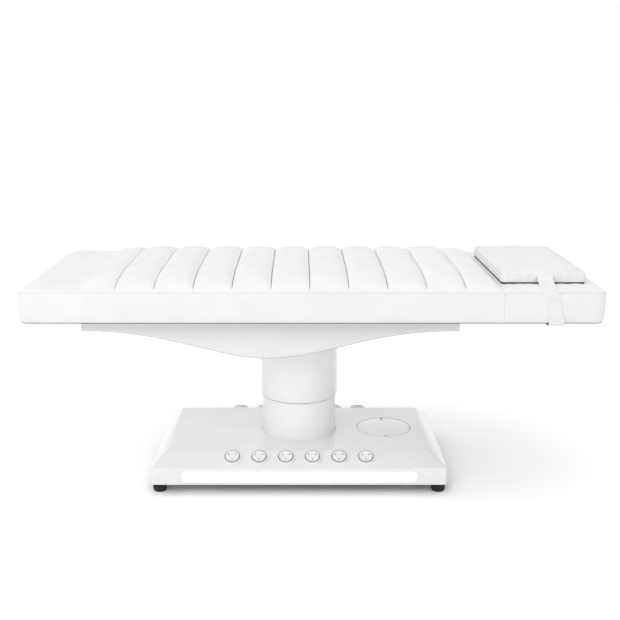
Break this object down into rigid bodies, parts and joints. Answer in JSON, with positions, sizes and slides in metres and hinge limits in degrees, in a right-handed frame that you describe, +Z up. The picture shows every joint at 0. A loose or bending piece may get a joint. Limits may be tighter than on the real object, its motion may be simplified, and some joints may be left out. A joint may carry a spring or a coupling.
{
  "type": "electric beauty bed",
  "caption": "Electric beauty bed: channelled padded top with lifting head section and pillow, wave-shaped shell, round telescoping lift column and low base with foot buttons.",
  "frame": {"origin": "on the floor, under the middle of the padded top's length and width", "axes": "+X towards the head end, +Y towards the rear long side, +Z up"},
  "size_m": [1.964, 0.7738, 0.8083],
  "materials": {
    "upholstery": "satin",
    "strap": "satin",
    "gloss_cover": "gloss",
    "column_paint": "gloss",
    "frame_paint": "satin",
    "bare_steel": "satin",
    "dark_plastic": "matte",
    "foot_rubber": "matte",
    "button_plastic": "gloss",
    "light": "satin",
    "light_carrier": "satin",
    "plywood": "matte"
  },
  "bodies": {
    "base": {"chassis_rail_front": "frame_paint", "chassis_rail_rear": "frame_paint", "chassis_cross_foot": "frame_paint", "chassis_cross_head": "frame_paint", "column_carrier": "frame_paint", "levelling_foot_foot_front": "foot_rubber", "levelling_foot_foot_rear": "foot_rubber", "levelling_foot_head_front": "foot_rubber", "levelling_foot_head_rear": "foot_rubber", "base_cover": "gloss_cover", "hatch_cover": "gloss_cover", "hatch_screw_front": "bare_steel", "hatch_screw_rear": "bare_steel", "control_box": "dark_plastic", "mains_inlet": "dark_plastic", "light_diffuser": "light", "light_carrier": "light_carrier", "switch_strip_front": "button_plastic", "switch_strip_rear": "button_plastic", "column_lower_tube": "column_paint", "column_collar": "column_paint", "guide_post_fixed": "bare_steel", "guide_glide": "dark_plastic", "lift_actuator_body": "dark_plastic"},
    "lift": {"column_upper_tube": "column_paint", "guide_post_sliding": "bare_steel", "lift_actuator_rod": "bare_steel", "column_head": "frame_paint"},
    "top": {"top_rail_front": "frame_paint", "top_rail_rear": "frame_paint", "top_cross_foot": "frame_paint", "top_cross_head": "frame_paint", "top_cross_actuator": "frame_paint", "tilt_shaft": "bare_steel", "underside_shell": "gloss_cover", "tilt_actuator_body": "dark_plastic", "main_board": "plywood", "main_padding": "upholstery", "hinge_arm_fixed_front": "bare_steel", "hinge_arm_fixed_rear": "bare_steel"},
    "tilt_rod": {"tilt_actuator_rod": "bare_steel"},
    "head": {"head_board": "plywood", "head_padding": "upholstery", "hinge_arm_moving_front": "bare_steel", "hinge_arm_moving_rear": "bare_steel", "pillow": "upholstery", "pillow_strap": "strap"},
    "button_front_1": {"foot_button_front_1": "button_plastic"},
    "button_front_2": {"foot_button_front_2": "button_plastic"},
    "button_front_3": {"foot_button_front_3": "button_plastic"},
    "button_front_4": {"foot_button_front_4": "button_plastic"},
    "button_front_5": {"foot_button_front_5": "button_plastic"},
    "button_front_6": {"foot_button_front_6": "button_plastic"},
    "button_rear_1": {"foot_button_rear_1": "button_plastic"},
    "button_rear_2": {"foot_button_rear_2": "button_plastic"},
    "button_rear_3": {"foot_button_rear_3": "button_plastic"},
    "button_rear_4": {"foot_button_rear_4": "button_plastic"},
    "button_rear_5": {"foot_button_rear_5": "button_plastic"},
    "button_rear_6": {"foot_button_rear_6": "button_plastic"}
  },
  "joints": [
    {"name": "lift", "type": "slide", "parent": "base", "child": "lift", "axis": [0, 0, 1], "range_m": [-0.11, 0.1]},
    {"name": "tilt", "type": "hinge", "parent": "lift", "child": "top", "pos_m": [-0.042, 0, 0.594], "axis": [0, -1, 0], "range_deg": [-8, 8]},
    {"name": "tilt_rod_slide", "type": "slide", "parent": "top", "child": "tilt_rod", "axis": [0.9925, 0, -0.1219], "range_m": [-0.0095, 0.0095]},
    {"name": "head_lift", "type": "hinge", "parent": "top", "child": "head", "pos_m": [0.641, 0, 0.746], "axis": [0, -1, 0], "range_deg": [0, 35]},
    {"name": "press_front_1", "type": "slide", "parent": "base", "child": "button_front_1", "axis": [0, 0.5083, -0.8612], "range_m": [0, 0.005], "stiffness_N_per_m": 900, "springref_m": -0.002},
    {"name": "press_front_2", "type": "slide", "parent": "base", "child": "button_front_2", "axis": [0, 0.5083, -0.8612], "range_m": [0, 0.005], "stiffness_N_per_m": 900, "springref_m": -0.002},
    {"name": "press_front_3", "type": "slide", "parent": "base", "child": "button_front_3", "axis": [0, 0.5083, -0.8612], "range_m": [0, 0.005], "stiffness_N_per_m": 900, "springref_m": -0.002},
    {"name": "press_front_4", "type": "slide", "parent": "base", "child": "button_front_4", "axis": [0, 0.5083, -0.8612], "range_m": [0, 0.005], "stiffness_N_per_m": 900, "springref_m": -0.002},
    {"name": "press_front_5", "type": "slide", "parent": "base", "child": "button_front_5", "axis": [0, 0.5083, -0.8612], "range_m": [0, 0.005], "stiffness_N_per_m": 900, "springref_m": -0.002},
    {"name": "press_front_6", "type": "slide", "parent": "base", "child": "button_front_6", "axis": [0, 0.5083, -0.8612], "range_m": [0, 0.005], "stiffness_N_per_m": 900, "springref_m": -0.002},
    {"name": "press_rear_1", "type": "slide", "parent": "base", "child": "button_rear_1", "axis": [0, -0.5083, -0.8612], "range_m": [0, 0.005], "stiffness_N_per_m": 900, "springref_m": -0.002},
    {"name": "press_rear_2", "type": "slide", "parent": "base", "child": "button_rear_2", "axis": [0, -0.5083, -0.8612], "range_m": [0, 0.005], "stiffness_N_per_m": 900, "springref_m": -0.002},
    {"name": "press_rear_3", "type": "slide", "parent": "base", "child": "button_rear_3", "axis": [0, -0.5083, -0.8612], "range_m": [0, 0.005], "stiffness_N_per_m": 900, "springref_m": -0.002},
    {"name": "press_rear_4", "type": "slide", "parent": "base", "child": "button_rear_4", "axis": [0, -0.5083, -0.8612], "range_m": [0, 0.005], "stiffness_N_per_m": 900, "springref_m": -0.002},
    {"name": "press_rear_5", "type": "slide", "parent": "base", "child": "button_rear_5", "axis": [0, -0.5083, -0.8612], "range_m": [0, 0.005], "stiffness_N_per_m": 900, "springref_m": -0.002},
    {"name": "press_rear_6", "type": "slide", "parent": "base", "child": "button_rear_6", "axis": [0, -0.5083, -0.8612], "range_m": [0, 0.005], "stiffness_N_per_m": 900, "springref_m": -0.002}
  ],
  "couplings": [
    {"joint": "tilt_rod_slide", "follows": "tilt", "m_per_rad": -0.064}
  ]
}
